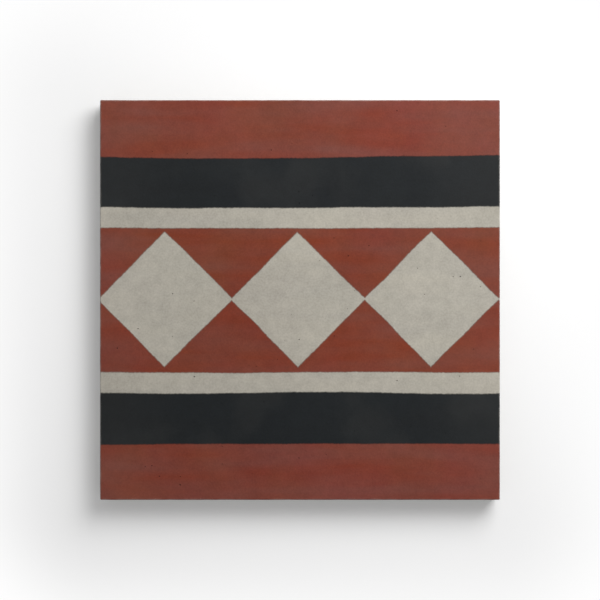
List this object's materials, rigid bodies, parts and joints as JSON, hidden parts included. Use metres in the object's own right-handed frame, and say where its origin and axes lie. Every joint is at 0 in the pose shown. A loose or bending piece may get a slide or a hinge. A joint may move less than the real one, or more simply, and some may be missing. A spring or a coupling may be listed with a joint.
{
  "type": "cement border tile",
  "caption": "Square cement border tile: red, dark and cream bands with a row of cream diamonds on a flat face, eased edges and a back keyed for bedding mortar.",
  "frame": {"origin": "middle of the back, on the surface that the tile lies on", "axes": "+X along the bands of the pattern, +Y across them, +Z out of the coloured face"},
  "size_m": [0.2, 0.2, 0.016],
  "materials": {
    "pressed_cement": "matte"
  },
  "bodies": {
    "root": {"border_tile": "pressed_cement"}
  },
  "joints": []
}
